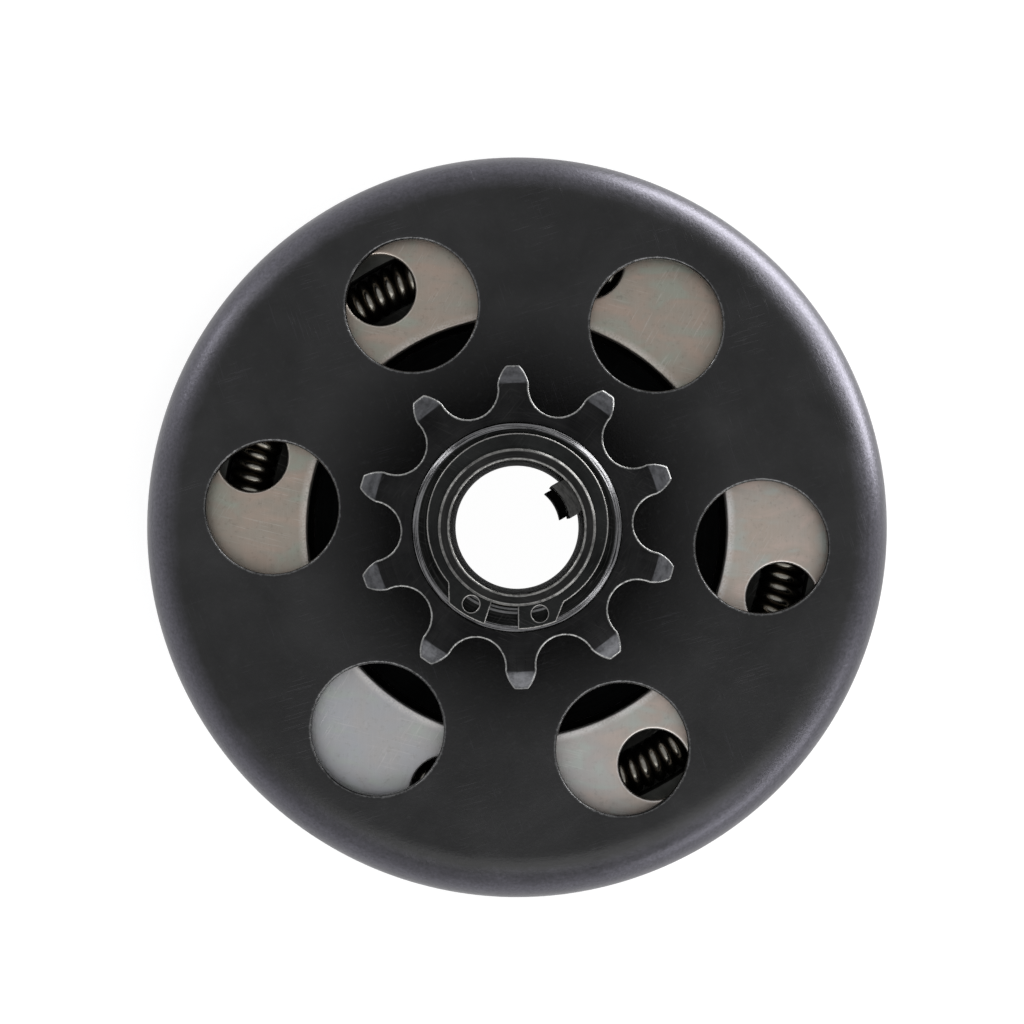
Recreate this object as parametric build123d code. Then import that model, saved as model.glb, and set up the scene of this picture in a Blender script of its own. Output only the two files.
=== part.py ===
from build123d import *
import math
import os

# All sizes are in millimetres and degrees.
# The origin is on the bore's axis at the driver's rear face, and +Z points out of the sprocket side.

# Crankshaft seat
bore_r = 9.54
bore_edge = 0.15
rear_lead_in = 0.5
plain_bore_length = 16.0
relief_width = 2.0
relief_depth = 0.3

# Built-in key of the driver
key_angle = 30.0
key_width = 4.5
key_stand = 3.14
key_length = 18.0
step_width = 5.34
step_stand = 1.94
step_set_back = 1.7
key_root = 0.25

# Driver hub
hub_wall = 1.66
journal_edge = 0.3
shoulder_step = 2.8
flange_share = 0.3
flange_height = 6.4
flange_edge = 0.6

# Snap ring in the front end of the driver
ring_thickness = 1.15
ring_groove_width = 1.2
ring_groove_depth = 0.7
ring_land = 1.0
ring_width = 1.7
ring_offset = 0.49
ring_offset_angle = 80.7
ring_bore_play = 0.05
ring_gap_start = 251.5
ring_gap_end = 270.5
lug_inset = 0.35
lug_rise = 2.4
left_lug_root = 216.0
left_lug_tip = 228.0
right_lug_tip = 292.5
right_lug_root = 305.0
lug_hole_r = 1.15
lug_hole_inset = 1.8
left_lug_hole = 239.1
right_lug_hole = 284.8

# Rear disc and drive spider
disc_play = 1.2
disc_thickness = 2.0
spider_boss_share = 0.2604
spider_thickness = 10.0
arm_width = 8.9
arm_play = 2.2
arm_side_play = 0.3
arm_edge = 0.8
press_fit = 0.01
spider_rivet_count = 4
spider_rivet_head_share = 0.37
spider_rivet_shank_share = 0.62
spider_rivet_head_height = 1.1

# Drum
drum_outer_r = 55.0
drum_wall = 2.6
drum_corner_r = 7.0
drum_skirt = 4.6
drum_hole_count = 6
drum_hole_share = 0.1767
drum_hole_circle_share = 0.656
drum_hole_first = -4.6
drum_hole_edge = 0.25
drum_rim_edge = 0.4
drum_web_gap = 2.5

# Sprocket for 12.7 mm pitch chain
chain_pitch = 12.7
roller_dia = 7.92
teeth = 10
tooth_first = 19.6
tip_trim = 0.2
tip_land = 1.9
seat_arc_r = 4.2
seat_arc_half = 80.0
flank_bulge = 0.22
chain_room = 11.1
plate_thickness = 5.9
tooth_relief = 0.9
neck_inset = 1.1
spigot_step = 1.0
counterbore_play = 0.1
counterbore_edge = 0.1
recess_depth = 0.6

# Sprocket bushing and washers
bushing_wall = 1.47
running_play = 0.03
end_play = 0.1
washer_thickness = 1.0
front_washer_step = 2.15
front_washer_thickness = 1.6
front_washer_bevel_width = 0.75
front_washer_bevel_height = 0.5
washer_play = 0.1

# Shoes, each a riveted stack of plates
shoe_directions = (120.0, 300.0)
shoe_travel = 1.1
lining_gap = 0.05
lining_thickness = 3.2
lining_end_angle = 9.0
lining_margin = 0.6
shoe_inner_share = 0.24825
shoe_floor_gap = 0.4
plate_gauge = 2.0
core_height = 8.0
channel_middle_share = 0.517
channel_half_share = 0.1989
channel_head_room = 0.5
window_share = 0.292
window_circle_offset = 0.2
window_spacing = 45.0
window_edge = 0.15
rivet_share = 0.27
rivet_head_share = 0.34
rivet_head_height = 0.7
rivet_foot_height = 0.6
rivet_outer_place = 0.41
rivet_inner_place = 0.5
rivet_end_angle = 12.0
rivet_mid_angle = 58.0

# Coil spring ring, as the tube that its coils fill
spring_side_play = 0.3
spring_tube_wall = 0.95
spring_end_gap = 0.1

# Radii that follow from the sizes above
journal_r = bore_r + hub_wall
seat_r = journal_r + shoulder_step
groove_r = journal_r - ring_groove_depth
ring_outer_r = journal_r + ring_width
key_face_r = bore_r - key_stand
step_face_r = bore_r - step_stand
bushing_outer_r = journal_r + running_play + bushing_wall
front_washer_r = bushing_outer_r + front_washer_step
counterbore_r = front_washer_r + counterbore_play
lug_outer_r = front_washer_r - lug_inset
lug_root_r = lug_outer_r - lug_rise
rear_washer_r = seat_r - washer_play
pitch_r = chain_pitch / 2 / math.sin(math.pi / teeth)
root_r = pitch_r - roller_dia / 2
tip_r = chain_pitch / 2 * (0.6 + 1 / math.tan(math.pi / teeth)) - tip_trim
neck_r = root_r - neck_inset
spigot_r = neck_r - spigot_step
drum_inner_r = drum_outer_r - drum_wall
spider_boss_r = seat_r + (drum_inner_r - seat_r) * spider_boss_share
flange_r = seat_r + (spider_boss_r - seat_r) * flange_share
drum_hole_r = drum_outer_r * drum_hole_share
drum_hole_circle_r = drum_outer_r * drum_hole_circle_share
disc_r = drum_inner_r - disc_play
arm_reach = drum_inner_r - arm_play
spider_rivet_circle_r = (spider_boss_r + flange_r) / 2
spider_rivet_head_r = (spider_boss_r - flange_r) * spider_rivet_head_share
spider_rivet_r = spider_rivet_head_r * spider_rivet_shank_share
shoe_end_gap = arm_width + 2 * arm_side_play
shoe_inner_r = spider_boss_r + (drum_inner_r - spider_boss_r) * shoe_inner_share
shoe_face_r = drum_inner_r - lining_gap
shoe_metal_r = shoe_face_r - lining_thickness
shoe_depth = shoe_metal_r - shoe_inner_r
channel_middle_r = shoe_inner_r + shoe_depth * channel_middle_share
channel_inner_r = channel_middle_r - shoe_depth * channel_half_share
channel_outer_r = channel_middle_r + shoe_depth * channel_half_share
spring_r = shoe_depth * channel_half_share - spring_side_play
spring_hollow_r = spring_r - spring_tube_wall
window_r = shoe_depth * window_share
window_circle_r = channel_middle_r + window_circle_offset
rivet_outer_circle_r = channel_outer_r + (shoe_metal_r - channel_outer_r) * rivet_outer_place
rivet_inner_circle_r = shoe_inner_r + (channel_inner_r - shoe_inner_r) * rivet_inner_place
rivet_r = (shoe_metal_r - channel_outer_r) * rivet_share
rivet_head_r = (shoe_metal_r - channel_outer_r) * rivet_head_share

# Heights that follow, from the rear face up
relief_top_z = plain_bore_length + relief_width
key_front_z = relief_top_z + key_length
disc_top_z = flange_height + disc_thickness
spider_top_z = disc_top_z + spider_thickness
shoe_floor_z = disc_top_z + shoe_floor_gap
core_z = shoe_floor_z + plate_gauge
channel_z = core_z + core_height
spring_z = channel_z + channel_head_room + spring_r
front_plate_z = spring_z + spring_r + channel_head_room
shoe_top_z = front_plate_z + plate_gauge
drum_rim_z = flange_height - drum_skirt
drum_web_z = shoe_top_z + drum_web_gap
drum_face_z = drum_web_z + drum_wall
lining_top_z = drum_face_z - drum_corner_r - lining_margin
rear_washer_z = drum_web_z - end_play - washer_thickness
seat_top_z = rear_washer_z - washer_play
plate_back_z = drum_face_z + chain_room
plate_front_z = plate_back_z + plate_thickness
recess_floor_z = plate_front_z - recess_depth
front_washer_z = recess_floor_z + end_play
front_washer_top_z = front_washer_z + front_washer_thickness
groove_bottom_z = front_washer_top_z + end_play
groove_top_z = groove_bottom_z + ring_groove_width
ring_z = groove_bottom_z + (ring_groove_width - ring_thickness) / 2
hub_length = groove_top_z + ring_land


def polar(r, angle):
    return (r * math.cos(math.radians(angle)), r * math.sin(math.radians(angle)))


def turned(points):
    """A body of revolution about Z from its (radius, height) outline."""
    return revolve(Plane.XZ * make_face(Polyline(*points, close=True)), Axis.Z)


def slab(face, bottom, top):
    """A flat outline raised between two heights."""
    return extrude(Pos(0, 0, bottom) * face, amount=top - bottom)


def ring(outer, inner, bottom, top):
    return slab(Circle(outer) - Circle(inner), bottom, top)


def driver_hub():
    body = turned(
        [
            (flange_r - flange_edge, 0),
            (flange_r, flange_edge),
            (flange_r, flange_height),
            (seat_r, flange_height),
            (seat_r, seat_top_z),
            (journal_r, seat_top_z),
            (journal_r, groove_bottom_z),
            (groove_r, groove_bottom_z),
            (groove_r, groove_top_z),
            (journal_r, groove_top_z),
            (journal_r, hub_length - journal_edge),
            (journal_r - journal_edge, hub_length),
            (bore_r + bore_edge, hub_length),
            (bore_r, hub_length - bore_edge),
            (bore_r, relief_top_z),
            (bore_r + relief_depth, relief_top_z),
            (bore_r + relief_depth, plain_bore_length),
            (bore_r, plain_bore_length),
            (bore_r, rear_lead_in),
            (bore_r + rear_lead_in, 0),
        ]
    )
    root = bore_r + key_root
    block = Pos(root / 2, 0) * Rectangle(root, key_width) & (Circle(root) - Circle(key_face_r))
    step = Pos(root / 2, 0) * Rectangle(root, step_width) & (Circle(root) - Circle(step_face_r))
    turn = Rot(0, 0, key_angle)
    body += slab(turn * block, relief_top_z, key_front_z)
    body += slab(turn * step, relief_top_z, hub_length - step_set_back)
    return body


def snap_ring():
    outline = Pos(*polar(ring_offset, ring_offset_angle)) * Circle(ring_outer_r)
    outline += lug(left_lug_root, left_lug_tip, ring_gap_start)
    outline += lug(right_lug_root, right_lug_tip, ring_gap_end)
    outline -= Circle(groove_r + ring_bore_play)
    far = 2 * lug_outer_r
    outline -= make_face(Polyline((0, 0), polar(far, ring_gap_start), polar(far, ring_gap_end), close=True))
    for angle in (left_lug_hole, right_lug_hole):
        outline -= Pos(*polar(lug_outer_r - lug_hole_inset, angle)) * Circle(lug_hole_r)
    return slab(outline, ring_z, ring_z + ring_thickness)


def lug(root_angle, tip_angle, gap_angle):
    """One eyed end of the snap ring, from its root to the ring's gap."""
    root = polar(lug_root_r, root_angle)
    tip = polar(lug_outer_r, tip_angle)
    beyond = (2 * tip[0] - root[0], 2 * tip[1] - root[1])
    gap = polar(2 * lug_outer_r, gap_angle)
    return make_face(Polyline((0, 0), root, beyond, gap, close=True)) & Circle(lug_outer_r)


def front_thrust_washer():
    return turned(
        [
            (journal_r + washer_play, front_washer_z),
            (front_washer_r, front_washer_z),
            (front_washer_r, front_washer_top_z - front_washer_bevel_height),
            (front_washer_r - front_washer_bevel_width, front_washer_top_z),
            (journal_r + washer_play, front_washer_top_z),
        ]
    )


def rear_thrust_washer():
    return ring(rear_washer_r, journal_r + washer_play, rear_washer_z, rear_washer_z + washer_thickness)


def backing_plate():
    plate = ring(disc_r, seat_r + press_fit, flange_height, disc_top_z)
    return plate - spider_rivet_holes(flange_height, disc_top_z)


def spider_rivet_holes(bottom, top):
    hole = slab(Circle(spider_rivet_r + press_fit), bottom, top)
    spots = PolarLocations(spider_rivet_circle_r, spider_rivet_count, shoe_directions[0] - 45)
    return [spot * hole for spot in spots]


def drive_spider():
    half = arm_width / 2
    arms = Rectangle(2 * arm_reach, arm_width)
    arms = chamfer(arms.vertices(), arm_edge)
    outline = Circle(spider_boss_r) + arms - Circle(seat_r + press_fit)
    body = slab(Rot(0, 0, shoe_directions[0] - 90) * outline, disc_top_z, spider_top_z)
    return body - spider_rivet_holes(disc_top_z, spider_top_z)


def spider_rivets():
    rivet = turned(
        [
            (0, flange_height - spider_rivet_head_height),
            (spider_rivet_head_r * 0.7, flange_height - spider_rivet_head_height),
            (spider_rivet_head_r, flange_height - spider_rivet_head_height * 0.4),
            (spider_rivet_head_r, flange_height),
            (spider_rivet_r, flange_height),
            (spider_rivet_r, spider_top_z),
            (0, spider_top_z),
        ]
    )
    spots = PolarLocations(spider_rivet_circle_r, spider_rivet_count, shoe_directions[0] - 45)
    return Part() + [Pos(*spot.position) * rivet for spot in spots]


def clutch_drum():
    corner_x = drum_outer_r - drum_corner_r
    corner_z = drum_face_z - drum_corner_r
    inner_corner = drum_corner_r - drum_wall
    outline = [
        Line((spigot_r, drum_web_z), (spigot_r, drum_face_z)),
        Line((spigot_r, drum_face_z), (corner_x, drum_face_z)),
        CenterArc((corner_x, corner_z), drum_corner_r, 0, 90),
        Line((drum_outer_r, corner_z), (drum_outer_r, drum_rim_z + drum_rim_edge)),
        Line((drum_outer_r, drum_rim_z + drum_rim_edge), (drum_outer_r - drum_rim_edge, drum_rim_z)),
        Line((drum_outer_r - drum_rim_edge, drum_rim_z), (drum_inner_r, drum_rim_z)),
        Line((drum_inner_r, drum_rim_z), (drum_inner_r, corner_z)),
        CenterArc((corner_x, corner_z), inner_corner, 0, 90),
        Line((corner_x, drum_web_z), (spigot_r, drum_web_z)),
    ]
    body = revolve(Plane.XZ * make_face(outline), Axis.Z)
    hole = turned(
        [
            (0, drum_web_z - 1),
            (drum_hole_r, drum_web_z - 1),
            (drum_hole_r, drum_face_z - drum_hole_edge),
            (drum_hole_r + drum_hole_edge, drum_face_z),
            (drum_hole_r + drum_hole_edge, drum_face_z + 1),
            (0, drum_face_z + 1),
        ]
    )
    spots = PolarLocations(drum_hole_circle_r, drum_hole_count, drum_hole_first)
    return body - [Pos(*spot.position) * hole for spot in spots]


def tooth_gap():
    """The outline between two teeth, with its middle on +X."""
    centre = root_r + seat_arc_r
    half = math.radians(seat_arc_half)
    seat_x = centre - seat_arc_r * math.cos(half)
    seat_y = seat_arc_r * math.sin(half)
    corner_angle = 180 / teeth - math.degrees(math.asin(tip_land / 2 / tip_r))
    tip_x, tip_y = polar(tip_r, corner_angle)
    bulge = flank_bulge / math.sqrt(2)
    mid_x = (seat_x + tip_x) / 2 + bulge
    mid_y = (seat_y + tip_y) / 2 - bulge
    out_x, out_y = polar(tip_r * 1.15, corner_angle)
    outline = [
        ThreePointArc((seat_x, -seat_y), (root_r, 0), (seat_x, seat_y)),
        ThreePointArc((seat_x, seat_y), (mid_x, mid_y), (tip_x, tip_y)),
        Line((tip_x, tip_y), (out_x, out_y)),
        Line((out_x, out_y), (out_x, -out_y)),
        Line((out_x, -out_y), (tip_x, -tip_y)),
        ThreePointArc((tip_x, -tip_y), (mid_x, -mid_y), (seat_x, -seat_y)),
    ]
    return make_face(outline)


def sprocket():
    blank = turned(
        [
            (bushing_outer_r, drum_web_z),
            (spigot_r, drum_web_z),
            (spigot_r, drum_face_z),
            (neck_r, drum_face_z),
            (neck_r, plate_back_z),
            (pitch_r, plate_back_z),
            (tip_r, plate_back_z + tooth_relief),
            (tip_r, plate_front_z - tooth_relief),
            (pitch_r, plate_front_z),
            (counterbore_r + counterbore_edge, plate_front_z),
            (counterbore_r, plate_front_z - counterbore_edge),
            (counterbore_r, recess_floor_z),
            (bushing_outer_r, recess_floor_z),
        ]
    )
    gap = slab(tooth_gap(), plate_back_z - 0.5, plate_front_z + 0.5)
    first = tooth_first + 180 / teeth
    return blank - [Rot(0, 0, first + i * 360 / teeth) * gap for i in range(teeth)]


def sprocket_bushing():
    return ring(bushing_outer_r, journal_r + running_play, drum_web_z, recess_floor_z)


def shoe_outline(outer_r, inner_r):
    """A shoe layer that moves outward along +Y, with flat ends beside the drive arms."""
    outer = Pos(0, -shoe_travel) * Circle(outer_r)
    half_plane = Pos(0, shoe_end_gap / 2 + drum_outer_r) * Rectangle(4 * drum_outer_r, 2 * drum_outer_r)
    return (outer & half_plane) - Circle(inner_r)


def rivet_places():
    outer = (rivet_end_angle, rivet_mid_angle, 180 - rivet_mid_angle, 180 - rivet_end_angle)
    inner = (rivet_mid_angle, 180 - rivet_mid_angle)
    places = [polar(rivet_outer_circle_r, angle) for angle in outer]
    return places + [polar(rivet_inner_circle_r, angle) for angle in inner]


def rivet_holes(bottom, top):
    hole = slab(Circle(rivet_r + press_fit), bottom, top)
    return [Pos(*place) * hole for place in rivet_places()]


def shoe_front_plate():
    plate = slab(shoe_outline(shoe_metal_r, shoe_inner_r), front_plate_z, shoe_top_z)
    window = turned(
        [
            (0, front_plate_z - 1),
            (window_r, front_plate_z - 1),
            (window_r, shoe_top_z - window_edge),
            (window_r + window_edge, shoe_top_z),
            (window_r + window_edge, shoe_top_z + 1),
            (0, shoe_top_z + 1),
        ]
    )
    for i in (-1, 0, 1):
        plate -= Pos(*polar(window_circle_r, 90 + i * window_spacing)) * window
    return plate - rivet_holes(front_plate_z, shoe_top_z)


def shoe_inner_spacer():
    strip = shoe_outline(shoe_metal_r, shoe_inner_r) & Circle(channel_inner_r)
    return slab(strip, channel_z, front_plate_z) - rivet_holes(channel_z, front_plate_z)


def shoe_outer_spacer():
    strip = shoe_outline(shoe_metal_r, channel_outer_r)
    return slab(strip, channel_z, front_plate_z) - rivet_holes(channel_z, front_plate_z)


def shoe_core():
    return slab(shoe_outline(shoe_metal_r, shoe_inner_r), core_z, channel_z) - rivet_holes(core_z, channel_z)


def shoe_rear_plate():
    plate = slab(shoe_outline(shoe_metal_r, shoe_inner_r), shoe_floor_z, core_z)
    foot = turned(
        [
            (0, shoe_floor_z),
            (rivet_r + rivet_foot_height + press_fit, shoe_floor_z),
            (rivet_r + press_fit, shoe_floor_z + rivet_foot_height),
            (rivet_r + press_fit, core_z),
            (0, core_z),
        ]
    )
    return plate - [Pos(*place) * foot for place in rivet_places()]


def shoe_rivets():
    rivet = turned(
        [
            (0, shoe_floor_z),
            (rivet_r + rivet_foot_height, shoe_floor_z),
            (rivet_r, shoe_floor_z + rivet_foot_height),
            (rivet_r, shoe_top_z),
            (rivet_head_r, shoe_top_z),
            (rivet_head_r, shoe_top_z + rivet_head_height * 0.5),
            (rivet_head_r * 0.6, shoe_top_z + rivet_head_height),
            (0, shoe_top_z + rivet_head_height),
        ]
    )
    return Part() + [Pos(*place) * rivet for place in rivet_places()]


def shoe_lining():
    centre = Pos(0, -shoe_travel)
    reach = 2 * drum_outer_r
    left = polar(reach, 180 - lining_end_angle)
    right = polar(reach, lining_end_angle)
    wedge = make_face(Polyline((0, 0), right, (reach, reach), (-reach, reach), left, close=True))
    outline = (centre * (Circle(shoe_face_r) - Circle(shoe_metal_r + press_fit))) & wedge
    return slab(outline, shoe_floor_z + lining_margin, lining_top_z)


def spring_half():
    """Half of the ring that the coil spring fills, for the shoe on the +Y side."""
    section = Pos(channel_middle_r, spring_z) * (Circle(spring_r) - Circle(spring_hollow_r))
    short = math.degrees(math.asin(spring_end_gap / 2 / (channel_middle_r - spring_r)))
    return Rot(0, 0, short) * revolve(Plane.XZ * section, Axis.Z, 180 - 2 * short)


def save(name, body):
    export_step(body, os.path.join("parts", name + ".step"))


def main():
    os.makedirs("parts", exist_ok=True)
    save("driver_hub", driver_hub())
    save("snap_ring", snap_ring())
    save("front_thrust_washer", front_thrust_washer())
    save("rear_thrust_washer", rear_thrust_washer())
    save("backing_plate", backing_plate())
    save("drive_spider", drive_spider())
    save("spider_rivets", spider_rivets())
    save("clutch_drum", clutch_drum())
    save("sprocket", sprocket())
    save("sprocket_bushing", sprocket_bushing())
    layers = {
        "front_plate": shoe_front_plate(),
        "inner_spacer": shoe_inner_spacer(),
        "outer_spacer": shoe_outer_spacer(),
        "core": shoe_core(),
        "rear_plate": shoe_rear_plate(),
        "rivets": shoe_rivets(),
        "lining": shoe_lining(),
    }
    spring = spring_half()
    for letter, direction in zip("ab", shoe_directions):
        turn = Rot(0, 0, direction - 90)
        for name, layer in layers.items():
            save("shoe_" + letter + "_" + name, turn * layer)
        save("garter_spring_" + letter, turn * spring)


main()
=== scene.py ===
import math

import bmesh
import bpy
import numpy as np
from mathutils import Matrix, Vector
from mathutils.geometry import tessellate_polygon


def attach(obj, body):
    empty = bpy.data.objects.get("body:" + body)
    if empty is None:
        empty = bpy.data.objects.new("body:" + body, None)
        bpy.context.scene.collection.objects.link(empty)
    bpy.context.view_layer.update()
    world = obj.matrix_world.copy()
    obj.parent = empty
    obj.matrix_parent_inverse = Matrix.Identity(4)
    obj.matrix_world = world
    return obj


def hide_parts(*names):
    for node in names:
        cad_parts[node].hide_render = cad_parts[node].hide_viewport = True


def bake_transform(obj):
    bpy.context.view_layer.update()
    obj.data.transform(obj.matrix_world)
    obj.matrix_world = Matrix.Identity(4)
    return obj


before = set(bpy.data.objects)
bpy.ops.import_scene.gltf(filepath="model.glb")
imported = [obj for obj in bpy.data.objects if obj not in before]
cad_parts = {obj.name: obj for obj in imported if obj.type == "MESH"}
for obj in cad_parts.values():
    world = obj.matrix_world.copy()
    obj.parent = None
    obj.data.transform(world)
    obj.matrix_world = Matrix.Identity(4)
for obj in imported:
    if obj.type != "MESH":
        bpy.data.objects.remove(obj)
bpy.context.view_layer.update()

print("frame loaded:", len(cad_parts), "nodes")

# Everything is built in millimetres and scaled once, when a piece is made.
mm = 0.001


# Shader maths: a number from a node, on which sums and products add Math nodes
class Value:
    def __init__(self, finish, socket):
        self.finish = finish
        self.socket = socket

    def other(self, output):
        return Value(self.finish, self.socket.node.outputs[output])

    def __add__(self, number):
        return self.finish.maths("ADD", self, number)

    def __radd__(self, number):
        return self.finish.maths("ADD", number, self)

    def __sub__(self, number):
        return self.finish.maths("SUBTRACT", self, number)

    def __rsub__(self, number):
        return self.finish.maths("SUBTRACT", number, self)

    def __mul__(self, number):
        return self.finish.maths("MULTIPLY", self, number)

    def __rmul__(self, number):
        return self.finish.maths("MULTIPLY", number, self)

    def __truediv__(self, number):
        return self.finish.maths("DIVIDE", self, number)

    def __rtruediv__(self, number):
        return self.finish.maths("DIVIDE", number, self)

    def __pow__(self, number):
        return self.finish.maths("POWER", self, number)


# The nodes of one material or world, and the few calls that every finish here is made with
class Finish:
    def __init__(self, owner):
        owner.use_nodes = True
        self.owner = owner
        self.tree = owner.node_tree
        self.tree.nodes.clear()

    def node(self, kind, settings, sockets, output=0):
        made = self.tree.nodes.new(kind)
        for key, setting in settings.items():
            setattr(made, key, setting)
        for key, value in sockets.items():
            target = made.inputs[key]
            if isinstance(value, Value):
                self.tree.links.new(value.socket, target)
            elif target.type == "RGBA" and len(value) == 3:
                target.default_value = (*value, 1.0)
            else:
                target.default_value = value
        return Value(self, made.outputs[output])

    def maths(self, operation, *numbers):
        return self.node("ShaderNodeMath", {"operation": operation}, dict(enumerate(numbers)))

    def larger(self, a, b):
        return self.maths("MAXIMUM", a, b)

    def within(self, value, low, high):  # 0 below low, 1 above high
        return self.node("ShaderNodeMapRange", {}, {"Value": value, "From Min": low, "From Max": high})

    def between(self, value, low, high, soft):  # 1 from low to high, fading out beyond them
        return self.within(value, low - soft, low) * self.within(value, high + soft, high)

    def blend(self, factor, a, b):
        return self.node("ShaderNodeMix", {"data_type": "RGBA"}, {0: factor, 6: a, 7: b}, 2)

    def noise(self, vector, scale, detail=2.0, roughness=0.5, distortion=0.0):
        sockets = {"Vector": vector, "Scale": scale, "Detail": detail,
                   "Roughness": roughness, "Distortion": distortion}
        return self.node("ShaderNodeTexNoise", {}, sockets)

    def place(self):  # millimetres in the shared frame
        metres = self.node("ShaderNodeTexCoord", {}, {}, "Object")
        return self.node("ShaderNodeVectorMath", {"operation": "SCALE"}, {0: metres, "Scale": 1000.0})

    def axes(self, place):
        x = self.node("ShaderNodeSeparateXYZ", {}, {0: place})
        return x, x.other("Y"), x.other("Z")

    def vector(self, x, y, z):
        return self.node("ShaderNodeCombineXYZ", {}, {0: x, 1: y, 2: z})

    def wear(self):  # 1 on the edges that handling has rubbed
        return self.node("ShaderNodeAttribute", {"attribute_name": "edgeWear"}, {}, "Fac")

    def radius(self, place):
        x, y, z = self.axes(place)
        return (x * x + y * y) ** 0.5

    def turning(self, place, around, across):  # fine rings that a lathe leaves
        x, y, z = self.axes(place)
        radius = self.radius(place) + 0.001
        ring = self.vector(x / radius * around, y / radius * around, (radius + z) * across)
        return self.noise(ring, 1.0, 3.0, 0.6)

    def scratches(self, place, angle, across, along, share):  # hair lines in patches, all at one angle
        turn = {"Vector": place, "Angle": math.radians(angle)}
        turned = self.node("ShaderNodeVectorRotate", {"rotation_type": "Z_AXIS"}, turn)
        x, y, z = self.axes(turned)
        fibre = self.noise(self.vector(x * along, y * across, z * along), 1.0, 1.0, 0.4, 0.3)
        here = self.within(self.noise(turned, 0.13, 2.0), 0.5, 0.66)
        return self.within(fibre, 1 - share, 1 - share + 0.06) * here

    def bump(self, height, depth):  # depth in millimetres
        return self.node("ShaderNodeBump", {}, {"Height": height, "Distance": depth * mm, "Strength": 1.0})

    def surface(self, **sockets):
        names = {"colour": "Base Color", "roughness": "Roughness",
                 "metallic": "Metallic", "normal": "Normal"}
        linked = {names[key]: value for key, value in sockets.items()}
        self.close(self.node("ShaderNodeBsdfPrincipled", {}, linked))
        return self.owner

    def close(self, shader, kind="ShaderNodeOutputMaterial"):
        end = self.tree.nodes.new(kind)
        self.tree.links.new(shader.socket, end.inputs["Surface"])


def newFinish(name):
    return Finish(bpy.data.materials.new(name))


# Mesh building. A loop is a list of points in the plane; a ring is one row of points of a skin.
rounding = {
    "longestCut": 0.42, "longestFade": 0.45, "leastFade": 0.01, "endWear": 0.6, "plateEndWear": 0.7,
    "tightestTurn": 0.4,
}
weldWithin = 0.0005  # millimetres


def fullTurn(count):
    return np.arange(count) * 2 * math.pi / count


def circle(radius, count=96, clockwise=False):
    turns = fullTurn(count)
    if clockwise:
        turns = -turns
    return np.column_stack((radius * np.cos(turns), radius * np.sin(turns)))


def arc(radius, start, end, count, centre=(0.0, 0.0)):
    turns = np.radians(np.linspace(start, end, count))
    return np.column_stack((centre[0] + radius * np.cos(turns), centre[1] + radius * np.sin(turns)))


def polar(radius, angle):
    return np.array((radius * math.cos(math.radians(angle)), radius * math.sin(math.radians(angle))))


def turnLoop(loop, angle):
    c, s = math.cos(math.radians(angle)), math.sin(math.radians(angle))
    return np.asarray(loop) @ np.array(((c, s), (-s, c)))


def inset(loop, distance):  # to the left of the loop's direction
    loop = np.asarray(loop, float)
    back = loop - np.roll(loop, 1, 0)
    ahead = np.roll(loop, -1, 0) - loop
    back /= np.linalg.norm(back, axis=1)[:, None]
    ahead /= np.linalg.norm(ahead, axis=1)[:, None]
    leftBack = np.column_stack((-back[:, 1], back[:, 0]))
    leftAhead = np.column_stack((-ahead[:, 1], ahead[:, 0]))
    middle = leftBack + leftAhead
    middle /= np.linalg.norm(middle, axis=1)[:, None]
    reach = distance / np.maximum(rounding["tightestTurn"], np.sum(middle * leftBack, axis=1))
    return loop + middle * reach[:, None]


def softCorners(corners, closed=True, steps=4, fade=0.25):
    # each corner is x, y, rounding; the result has a wear of 1 on the roundings and 0 just beyond them
    line = []
    for i, (x, y, edgeR) in enumerate(corners):
        here = np.array((x, y), float)
        if edgeR <= 0 or (not closed and i in (0, len(corners) - 1)):
            line.append((x, y, 0.0))
            continue
        before = np.array(corners[i - 1][:2], float) - here
        after = np.array(corners[(i + 1) % len(corners)][:2], float) - here
        lengthBefore, lengthAfter = np.linalg.norm(before), np.linalg.norm(after)
        before /= lengthBefore
        after /= lengthAfter
        half = math.acos(max(-1.0, min(1.0, float(before @ after)))) / 2
        longest = rounding["longestCut"]
        cut = min(edgeR / math.tan(half), longest * lengthBefore, longest * lengthAfter)
        radius = cut * math.tan(half)
        middle = (before + after) / np.linalg.norm(before + after)
        centre = here + middle * radius / math.sin(half)
        first, last = here + before * cut - centre, here + after * cut - centre
        swing = math.atan2(first[0] * last[1] - first[1] * last[0], float(first @ last))
        fadeBefore = min(fade, rounding["longestFade"] * lengthBefore - cut)
        fadeAfter = min(fade, rounding["longestFade"] * lengthAfter - cut)
        if fadeBefore > rounding["leastFade"]:
            line.append((*(here + before * (cut + fadeBefore)), 0.0))
        for step in range(steps + 1):
            c, s = math.cos(swing * step / steps), math.sin(swing * step / steps)
            spot = centre + np.array((first[0] * c - first[1] * s, first[0] * s + first[1] * c))
            line.append((*spot, rounding["endWear"] if step in (0, steps) else 1.0))
        if fadeAfter > rounding["leastFade"]:
            line.append((*(here + after * (cut + fadeAfter)), 0.0))
    return line


def turnedRings(line, turns):  # rings of a line of radius, height and wear
    rings = []
    for r, z, w in line:
        rings.append(np.column_stack((r * np.cos(turns), r * np.sin(turns), np.full(len(turns), z))))
    return rings, [np.full(len(turns), w) for r, z, w in line]


def flatRing(loop, height):
    return np.column_stack((loop, np.full(len(loop), height)))


def skin(rings, wear, endless=False):
    count = len(rings[0])
    faces = []
    for i in range(len(rings) if endless else len(rings) - 1):
        a, b = i * count, (i + 1) % len(rings) * count
        faces += [(a + j, a + (j + 1) % count, b + (j + 1) % count, b + j) for j in range(count)]
    return np.vstack(rings), faces, np.concatenate(wear)


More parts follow.
